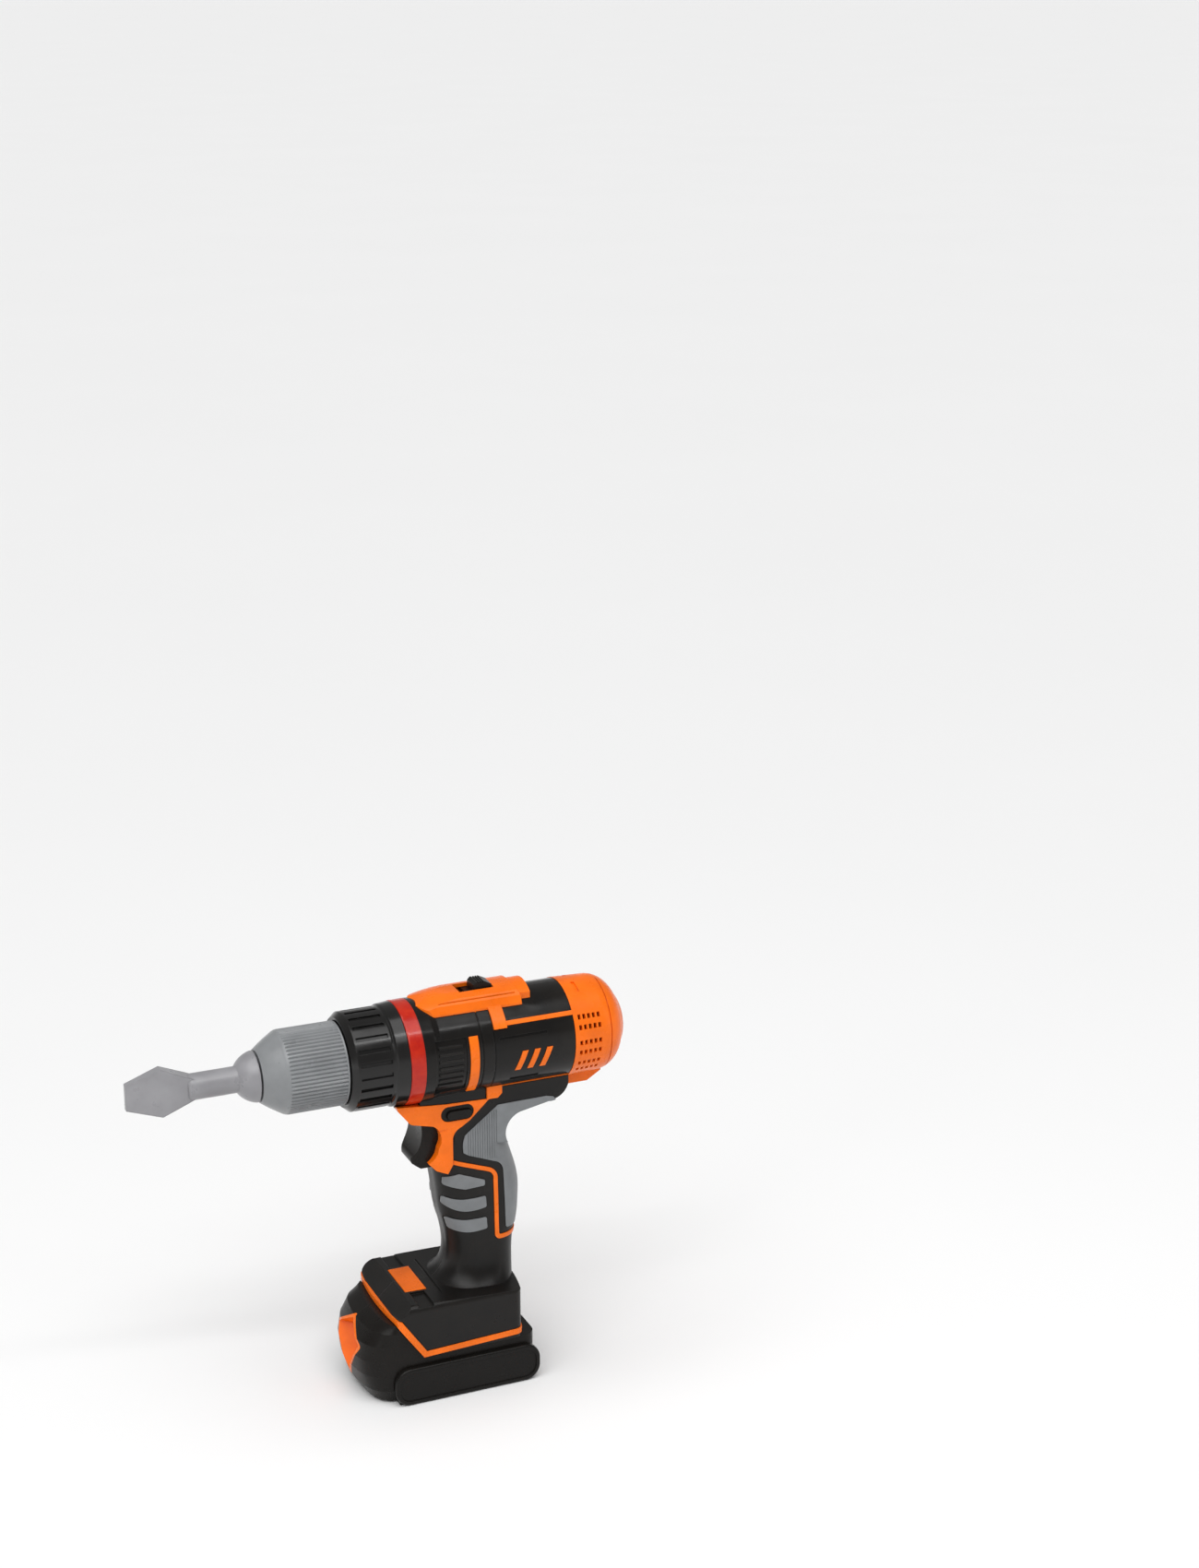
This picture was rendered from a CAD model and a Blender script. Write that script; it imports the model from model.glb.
"""Toy power drill: materials, moving springs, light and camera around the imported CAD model."""

from math import pi, radians

import bmesh
import bpy
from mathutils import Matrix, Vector


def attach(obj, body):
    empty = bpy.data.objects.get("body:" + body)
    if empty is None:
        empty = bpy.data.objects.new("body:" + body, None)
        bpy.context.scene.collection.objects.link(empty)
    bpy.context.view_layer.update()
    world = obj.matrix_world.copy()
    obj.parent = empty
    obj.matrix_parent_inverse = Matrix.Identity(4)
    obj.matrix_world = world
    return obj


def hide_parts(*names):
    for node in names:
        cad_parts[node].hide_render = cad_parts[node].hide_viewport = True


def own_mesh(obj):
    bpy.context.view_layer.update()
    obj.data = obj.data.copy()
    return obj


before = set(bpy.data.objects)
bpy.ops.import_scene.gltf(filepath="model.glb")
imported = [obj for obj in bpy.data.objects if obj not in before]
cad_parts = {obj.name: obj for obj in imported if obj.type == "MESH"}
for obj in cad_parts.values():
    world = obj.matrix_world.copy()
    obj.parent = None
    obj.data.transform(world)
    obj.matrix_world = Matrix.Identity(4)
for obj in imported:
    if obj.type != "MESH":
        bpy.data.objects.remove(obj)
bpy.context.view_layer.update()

MM = 0.001

# ---- Light and camera -----------------------------------------------------------------------
SKY_STRENGTH = 0.30             # overhead
HORIZON_STRENGTH = 0.85         # level with the table
HORIZON_TOP = 0.20              # sine of the height where the horizon has faded into the sky
KEY_FROM = (-0.25, -0.30, 1.0)
KEY_STRENGTH = 2.35
KEY_ANGLE = 70.0                # degrees across, so its shadows are soft
SOFTBOX_AIM = (-0.03, 0.0, 0.12)
SOFTBOXES = (                   # name, place, width, height, watts
    ("top_strip", (-0.09, -0.42, 0.95), 0.9, 0.05, 1.4),
    ("left_strip", (-0.90, -0.55, 0.45), 0.05, 0.7, 0.7),
    ("rear_strip", (0.70, -0.70, 0.50), 0.04, 0.7, 0.5),
)
FLOOR_WIDE = 120.0
CAMERA_PLACE = (-0.4595, -1.2512, 0.7429)
CAMERA_LOOKS = (0.3853, 0.8750, -0.2930)
CAMERA_LENS = 61.94
CAMERA_FILM = 36.0

# ---- Colours --------------------------------------------------------------------------------
ORANGE = (0.86, 0.150, 0.004)
RING_RED = (0.42, 0.010, 0.004)
RING_GLOW = (0.54, 0.026, 0.006)
GLOSS_BLACK = (0.0076, 0.0071, 0.0068)
SATIN_BLACK = (0.0096, 0.0083, 0.0072)
RUBBER_BLACK = (0.0084, 0.0075, 0.0067)
CHUCK_GREY = (0.212, 0.220, 0.227)
GRIP_GREY = (0.165, 0.174, 0.181)
BIT_GREY = (0.255, 0.252, 0.265)
WHITE_PLASTIC = (0.70, 0.69, 0.66)
BOARD_GREEN = (0.010, 0.085, 0.030)
STEEL = (0.55, 0.55, 0.56)
BRASS = (0.66, 0.45, 0.17)
COPPER = (0.58, 0.22, 0.09)
CELL_BLUE = (0.035, 0.090, 0.210)
LED_CLEAR = (0.80, 0.74, 0.66)
PAPER_BLACK = (0.02, 0.02, 0.02)
FLOOR_GREYS = ((0.88, 0.88, 0.88), (0.90, 0.90, 0.90))

# ---- Sizes of surface detail ----------------------------------------------------------------
COLOUR_PATCH = 14 * MM          # faint mottling of moulded plastic
GLOSS_PATCH = 9 * MM            # uneven polish
WEAR_PATCH = 6 * MM             # breaks in the rubbed edges
WORN_FROM, WORN_FULL = 0.53, 0.62               # how sharp an edge is, where 0.5 is a flat face
SKIN_GRAIN = 0.5 * MM           # mould texture
GRIP_PATCH = 12 * MM
GRIP_GRAIN = 0.35 * MM
METAL_GRAIN = 0.4 * MM
WIRE_PITCH = 0.4 * MM           # from one turn of a winding to the next
TRACK_PITCH = 9 * MM            # from one copper track to the next
FLOOR_PATCH = 0.5
POLISH_FROM, POLISH_TO = 157 * MM, 165 * MM     # heights between which satin turns into polish


# ---- Material building blocks ---------------------------------------------------------------
def new_material(name):
    """An empty material with a shader; returns the material, its node tree and the shader."""
    material = bpy.data.materials.new(name)
    material.use_nodes = True
    tree = material.node_tree
    tree.nodes.clear()
    shader = tree.nodes.new("ShaderNodeBsdfPrincipled")
    output = tree.nodes.new("ShaderNodeOutputMaterial")
    tree.links.new(shader.outputs["BSDF"], output.inputs["Surface"])
    return material, tree, shader


def object_coordinates(tree):
    """The socket that gives a point's place on the object, in metres."""
    return tree.nodes.new("ShaderNodeTexCoord").outputs["Object"]


def noise(tree, size, detail=3.0, roughness=0.55):
    """Noise with features of the given size in metres."""
    node = tree.nodes.new("ShaderNodeTexNoise")
    node.inputs["Scale"].default_value = 1.0 / size
    node.inputs["Detail"].default_value = detail
    node.inputs["Roughness"].default_value = roughness
    tree.links.new(object_coordinates(tree), node.inputs["Vector"])
    return node.outputs["Fac"]


def spread(tree, value, low, high, start=0.3, end=0.7):
    """Maps a value from start..end to low..high."""
    node = tree.nodes.new("ShaderNodeMapRange")
    node.inputs["From Min"].default_value = start
    node.inputs["From Max"].default_value = end
    node.inputs["To Min"].default_value = low
    node.inputs["To Max"].default_value = high
    tree.links.new(value, node.inputs["Value"])
    return node.outputs["Result"]


def uneven(tree, size):
    """Soft patches from 0 to 1, of the given size in metres."""
    return spread(tree, noise(tree, size), 0.0, 1.0)


def combine(tree, operation, first, second):
    """Arithmetic on a socket and either a socket or a number."""
    node = tree.nodes.new("ShaderNodeMath")
    node.operation = operation
    tree.links.new(first, node.inputs[0])
    if isinstance(second, (int, float)):
        node.inputs[1].default_value = second
    else:
        tree.links.new(second, node.inputs[1])
    return node.outputs["Value"]


def tint(tree, factor, first, second):
    """Blend of two colours by a factor socket; first may be a colour or a socket."""
    node = tree.nodes.new("ShaderNodeMix")
    node.data_type = "RGBA"
    tree.links.new(factor, node.inputs["Factor"])
    if isinstance(first, tuple):
        node.inputs["A"].default_value = (*first, 1.0)
    else:
        tree.links.new(first, node.inputs["A"])
    node.inputs["B"].default_value = (*second, 1.0)
    return node.outputs["Result"]


def shade(colour, amount):
    """The colour made lighter or darker."""
    return tuple(min(1.0, channel * amount) for channel in colour)


def edge_wear(tree):
    """High on convex edges, broken up by noise, where handling polishes the plastic."""
    geometry = tree.nodes.new("ShaderNodeNewGeometry")
    edges = spread(tree, geometry.outputs["Pointiness"], 0.0, 1.0, WORN_FROM, WORN_FULL)
    return combine(tree, "MULTIPLY", edges, noise(tree, WEAR_PATCH))


def surface_normal(tree, shader, height, depth, rounding=0.35 * MM):
    """Softens hard edges and adds a bump of the given depth in metres."""
    rounded = tree.nodes.new("ShaderNodeBevel")
    rounded.samples = 4
    rounded.inputs["Radius"].default_value = rounding
    bump = tree.nodes.new("ShaderNodeBump")
    bump.inputs["Strength"].default_value = 1.0
    bump.inputs["Distance"].default_value = depth
    tree.links.new(height, bump.inputs["Height"])
    tree.links.new(rounded.outputs["Normal"], bump.inputs["Normal"])
    tree.links.new(bump.outputs["Normal"], shader.inputs["Normal"])


def moulded_plastic(
        name, colour, roughness, grain=SKIN_GRAIN, depth=0.010 * MM, coat=0.0, wear=0.35,
        specular=0.5, rounding=0.35 * MM):
    """Injection-moulded plastic: faint mottling, uneven gloss, fine skin texture and rubbed edges."""
    material, tree, shader = new_material(name)
    mottled = tint(tree, uneven(tree, COLOUR_PATCH), shade(colour, 0.90), shade(colour, 1.10))
    worn = combine(tree, "MULTIPLY", edge_wear(tree), wear)
    tree.links.new(tint(tree, worn, mottled, shade(colour, 1.6)), shader.inputs["Base Color"])
    gloss = spread(tree, noise(tree, GLOSS_PATCH, 5.0), roughness - 0.05, roughness + 0.07)
    tree.links.new(gloss, shader.inputs["Roughness"])
    shader.inputs["Specular IOR Level"].default_value = specular
    shader.inputs["Coat Weight"].default_value = coat
    shader.inputs["Coat Roughness"].default_value = 0.12
    surface_normal(tree, shader, noise(tree, grain, 2.0), depth, rounding)
    return material


def housing_plastic():
    """Black housing: polished round the barrel, satin on the grip and the foot."""
    material, tree, shader = new_material("housing_black")
    mottled = tint(tree, uneven(tree, COLOUR_PATCH), shade(GLOSS_BLACK, 0.9), SATIN_BLACK)
    worn = combine(tree, "MULTIPLY", edge_wear(tree), 0.6)
    tree.links.new(tint(tree, worn, mottled, shade(SATIN_BLACK, 2.5)), shader.inputs["Base Color"])
    axes = tree.nodes.new("ShaderNodeSeparateXYZ")
    tree.links.new(object_coordinates(tree), axes.inputs["Vector"])
    satin = spread(tree, axes.outputs["Z"], 0.16, 0.0, POLISH_FROM, POLISH_TO)
    gloss = spread(tree, noise(tree, GLOSS_PATCH, 5.0), 0.11, 0.20)
    tree.links.new(combine(tree, "ADD", gloss, satin), shader.inputs["Roughness"])
    shader.inputs["Specular IOR Level"].default_value = 0.22
    surface_normal(tree, shader, noise(tree, SKIN_GRAIN, 2.0), 0.012 * MM, 0.8 * MM)
    return material


def soft_grip():
    """Matt grey overmoulded rubber with a dusty look on its edges."""
    material, tree, shader = new_material("soft_grip")
    finish = tint(tree, uneven(tree, GRIP_PATCH), shade(GRIP_GREY, 0.88), shade(GRIP_GREY, 1.12))
    dusty = combine(tree, "MULTIPLY", edge_wear(tree), 0.4)
    tree.links.new(tint(tree, dusty, finish, shade(GRIP_GREY, 1.4)), shader.inputs["Base Color"])
    tree.links.new(spread(tree, noise(tree, 5 * MM, 4.0), 0.48, 0.62), shader.inputs["Roughness"])
    shader.inputs["Sheen Weight"].default_value = 0.15
    surface_normal(tree, shader, noise(tree, GRIP_GRAIN, 2.0), 0.025 * MM, 0.12 * MM)
    return material


def metal(name, colour, roughness):
    """Bare metal with a fine uneven grain."""
    material, tree, shader = new_material(name)
    grain = noise(tree, METAL_GRAIN, 2.0, 0.5)
    mottled = tint(tree, spread(tree, grain, 0.0, 1.0), shade(colour, 0.82), shade(colour, 1.1))
    tree.links.new(mottled, shader.inputs["Base Color"])
    shader.inputs["Metallic"].default_value = 1.0
    gloss = spread(tree, grain, roughness - 0.08, roughness + 0.10)
    tree.links.new(gloss, shader.inputs["Roughness"])
    surface_normal(tree, shader, grain, 0.01 * MM, 0.15 * MM)
    return material


def translucent_ring():
    """Red light-spreading plastic with moulding swirl."""
    material, tree, shader = new_material("ring_red")
    swirl = spread(tree, noise(tree, 7 * MM, 4.0), 0.0, 1.0)
    tree.links.new(tint(tree, swirl, RING_RED, RING_GLOW), shader.inputs["Base Color"])
    tree.links.new(spread(tree, noise(tree, 4 * MM), 0.14, 0.24), shader.inputs["Roughness"])
    shader.inputs["Subsurface Weight"].default_value = 0.35
    shader.inputs["Subsurface Radius"].default_value = (1.0, 0.25, 0.08)
    shader.inputs["Subsurface Scale"].default_value = 4 * MM
    shader.inputs["Specular IOR Level"].default_value = 0.3
    shader.inputs["Coat Weight"].default_value = 0.1
    shader.inputs["Coat Roughness"].default_value = 0.08
    surface_normal(tree, shader, noise(tree, 1.5 * MM), 0.01 * MM)
    return material


def board_laminate():
    """Green circuit board with copper tracks showing through the lacquer."""
    material, tree, shader = new_material("board_green")
    tracks = tree.nodes.new("ShaderNodeTexBrick")
    tracks.inputs["Scale"].default_value = 1.0 / TRACK_PITCH
    tracks.inputs["Mortar Size"].default_value = 0.03
    tree.links.new(object_coordinates(tree), tracks.inputs["Vector"])
    lacquer = tint(tree, tracks.outputs["Fac"], BOARD_GREEN, shade(BOARD_GREEN, 2.2))
    tree.links.new(lacquer, shader.inputs["Base Color"])
    tree.links.new(spread(tree, noise(tree, 3 * MM), 0.25, 0.4), shader.inputs["Roughness"])
    surface_normal(tree, shader, tracks.outputs["Fac"], 0.03 * MM, 0.15 * MM)
    return material


def winding():
    """Copper wire wound round the motor's core."""
    material, tree, shader = new_material("copper_winding")
    wave = tree.nodes.new("ShaderNodeTexWave")
    wave.bands_direction = "X"
    wave.inputs["Scale"].default_value = pi / 10 / WIRE_PITCH
    tree.links.new(object_coordinates(tree), wave.inputs["Vector"])
    turns = tint(tree, wave.outputs["Fac"], shade(COPPER, 0.5), COPPER)
    tree.links.new(turns, shader.inputs["Base Color"])
    shader.inputs["Metallic"].default_value = 1.0
    tree.links.new(spread(tree, noise(tree, 2 * MM), 0.25, 0.4), shader.inputs["Roughness"])
    surface_normal(tree, shader, wave.outputs["Fac"], 0.1 * MM, 0.1 * MM)
    return material


# ---- Materials of the CAD nodes -------------------------------------------------------------
def paint_nodes():
    """Gives every CAD node its finish."""
    gloss_black = moulded_plastic("gloss_black", GLOSS_BLACK, 0.17, wear=0.5, specular=0.38)
    satin_black = moulded_plastic(
        "satin_black", SATIN_BLACK, 0.28, depth=0.02 * MM, wear=0.6, specular=0.15)
    rubber_black = moulded_plastic(
        "rubber_black", RUBBER_BLACK, 0.28, depth=0.015 * MM, wear=0.5, specular=0.16)
    orange = moulded_plastic("orange_plastic", ORANGE, 0.28, wear=0.15, specular=0.25)
    steel = metal("steel", STEEL, 0.28)
    brass = metal("brass", BRASS, 0.30)
    white = moulded_plastic("white_plastic", WHITE_PLASTIC, 0.45, wear=0.1)
    chuck_grey = moulded_plastic("chuck_grey", CHUCK_GREY, 0.30, depth=0.02 * MM, rounding=0.12 * MM)
    bit_grey = moulded_plastic(
        "bit_grey", BIT_GREY, 0.30, grain=0.8 * MM, depth=0.02 * MM, rounding=1.0 * MM)
    paper = moulded_plastic("paper_cone", PAPER_BLACK, 0.8, grain=0.3 * MM, depth=0.05 * MM)
    materials = {
        gloss_black: ("torque_collar",),
        housing_plastic(): ("housing_left", "housing_right"),
        satin_black: (
            "pack_left", "pack_right", "cell_door", "cell_tray", "trigger", "speed_selector",
            "reversing_button", "button_plates", "trigger_switch", "direction_switch", "board_parts",
            "foot_terminals", "speaker"),
        orange: (
            "grip_trims", "foot_stripe", "side_bars", "side_lines", "side_clips", "side_badges",
            "top_cover", "rear_cap", "trigger_bezel", "finger_pull", "release_button"),
        soft_grip(): ("grip_back", "grip_inserts"),
        rubber_black: ("pack_pads",),
        chuck_grey: ("chuck_sleeve",),
        bit_grey: ("flat_bit",),
        translucent_ring(): ("light_ring",),
        steel: (
            "housing_screws", "click_spring", "chuck_core", "spindle", "compound_axle", "motor_can",
            "trigger_spring", "release_spring", "door_screw", "cell_contacts"),
        brass: ("spindle_bushes", "motor_pinion", "motor_terminals", "foot_blades", "pack_contacts"),
        white: ("spindle_gear", "compound_gear", "gearbox_case", "gearbox_cover", "motor_end"),
        board_laminate(): ("light_board", "circuit_board"),
        moulded_plastic("led_clear", LED_CLEAR, 0.12, coat=0.6): ("light_leds",),
        winding(): ("motor_armature",),
        paper: ("speaker_cone",),
        moulded_plastic("cell_jacket", CELL_BLUE, 0.3, coat=0.4): ("cells",),
    }
    for material, nodes in materials.items():
        for node in nodes:
            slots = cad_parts[node].data.materials
            slots.clear()
            slots.append(material)


# ---- Springs --------------------------------------------------------------------------------
def add_spring(node):
    """Coil that shortens towards its seat as the joint closes; it stands for the rigid CAD spring."""
    spring = bpy.data.objects.new(node + "_coil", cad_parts[node].data.copy())
    bpy.context.scene.collection.objects.link(spring)
    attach(spring, "housing")
    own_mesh(spring)
    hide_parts(node)


def add_springs():
    """The trigger's spring and the release button's spring."""
    add_spring("trigger_spring")
    add_spring("release_spring")


# ---- Stage ----------------------------------------------------------------------------------
def grid_sheet(name, size, cells):
    """Flat square sheet on the table plane."""
    mesh = bmesh.new()
    bmesh.ops.create_grid(mesh, x_segments=cells, y_segments=cells, size=size / 2)
    data = bpy.data.meshes.new(name)
    mesh.to_mesh(data)
    mesh.free()
    sheet = bpy.data.objects.new(name, data)
    bpy.context.scene.collection.objects.link(sheet)
    return sheet


def add_floor():
    """Plain pale floor."""
    floor = grid_sheet("floor", FLOOR_WIDE, 4)
    material, tree, shader = new_material("floor_paint")
    tree.links.new(tint(tree, noise(tree, FLOOR_PATCH), *FLOOR_GREYS), shader.inputs["Base Color"])
    shader.inputs["Roughness"].default_value = 0.75
    shader.inputs["Specular IOR Level"].default_value = 0.2
    floor.data.materials.append(material)


def add_softbox(name, place, width, height, watts):
    """Rectangular area light that points at the drill."""
    light = bpy.data.lights.new(name, "AREA")
    light.shape = "RECTANGLE"
    light.size = width
    light.size_y = height
    light.energy = watts
    lamp = bpy.data.objects.new(name, light)
    lamp.location = place
    lamp.rotation_mode = "QUATERNION"
    lamp.rotation_quaternion = (Vector(SOFTBOX_AIM) - Vector(place)).to_track_quat("-Z", "Y")
    bpy.context.scene.collection.objects.link(lamp)


def add_sky_panel(name, direction, strength, angle):
    """Very broad soft light from a direction."""
    light = bpy.data.lights.new(name, "SUN")
    light.energy = strength
    light.angle = radians(angle)
    lamp = bpy.data.objects.new(name, light)
    lamp.rotation_mode = "QUATERNION"
    lamp.rotation_quaternion = (-Vector(direction)).to_track_quat("-Z", "Y")
    bpy.context.scene.collection.objects.link(lamp)


def add_light():
    """White surroundings, brightest at the horizon, a broad soft light and three narrow softboxes."""
    world = bpy.data.worlds.new("studio")
    world.use_nodes = True
    tree = world.node_tree
    background = tree.nodes["Background"]
    background.inputs["Color"].default_value = (1.0, 1.0, 1.0, 1.0)
    axes = tree.nodes.new("ShaderNodeSeparateXYZ")
    tree.links.new(tree.nodes.new("ShaderNodeTexCoord").outputs["Generated"], axes.inputs["Vector"])
    strength = spread(tree, axes.outputs["Z"], HORIZON_STRENGTH, SKY_STRENGTH, 0.0, HORIZON_TOP)
    tree.links.new(strength, background.inputs["Strength"])
    bpy.context.scene.world = world
    bpy.context.scene.view_settings.view_transform = "Standard"
    add_sky_panel("key", KEY_FROM, KEY_STRENGTH, KEY_ANGLE)
    for softbox in SOFTBOXES:
        add_softbox(*softbox)


def add_camera():
    """Camera at the viewing angle of a product shot: from the left front, a little above."""
    data = bpy.data.cameras.new("camera")
    data.sensor_fit = "VERTICAL"
    data.sensor_height = CAMERA_FILM
    data.sensor_width = CAMERA_FILM
    data.lens = CAMERA_LENS
    camera = bpy.data.objects.new("camera", data)
    camera.location = CAMERA_PLACE
    camera.rotation_mode = "QUATERNION"
    camera.rotation_quaternion = Vector(CAMERA_LOOKS).to_track_quat("-Z", "Y")
    bpy.context.scene.collection.objects.link(camera)
    bpy.context.scene.camera = camera


add_camera()
add_light()
add_floor()
paint_nodes()
add_springs()
